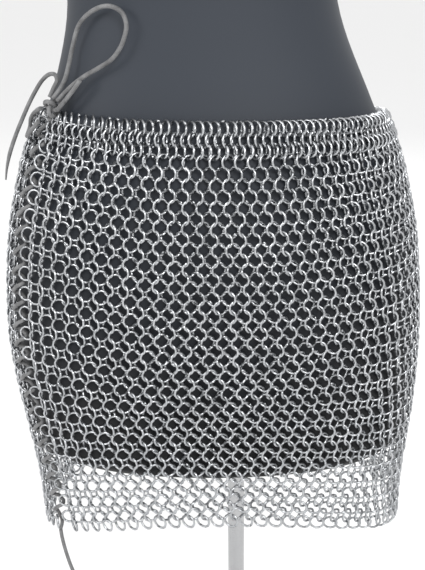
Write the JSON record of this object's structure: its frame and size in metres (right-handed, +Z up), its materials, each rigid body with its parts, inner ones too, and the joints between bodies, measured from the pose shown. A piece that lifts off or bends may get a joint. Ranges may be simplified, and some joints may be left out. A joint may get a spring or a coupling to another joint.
{
  "type": "chainmail skirt on a dress form",
  "caption": "Short laced skirt of linked metal rings with a dense waistband, worn by a smooth limbless dress form on a round steel stand.",
  "frame": {"origin": "centre of the base plate's underside, on the floor", "axes": "+Z up along the stand, -Y the skirt's front, +X to the right of someone looking at the front, away from the lacing"},
  "size_m": [0.3708, 0.28, 0.748],
  "materials": {
    "mail": "satin bright aluminium wire rings",
    "lace": "round grey leather lace, dry and slightly worn",
    "form": "smooth charcoal plastic, soft sheen",
    "stand_steel": "brushed steel tube and fittings",
    "base_steel": "brushed steel plate"
  },
  "bodies": {
    "root": {"mail_front": "mail", "mail_back": "mail", "waistband": "mail", "lace_run": "lace", "bow_knot": "lace", "bow_loop": "lace", "lace_short_end": "lace", "lace_tail_top": "lace", "lace_tail_hem": "lace", "lace_edge_wrap": "lace", "dress_form": "form", "form_flange": "stand_steel", "stand_pole": "stand_steel", "pole_collar": "stand_steel", "base_plate": "base_steel"}
  },
  "joints": []
}
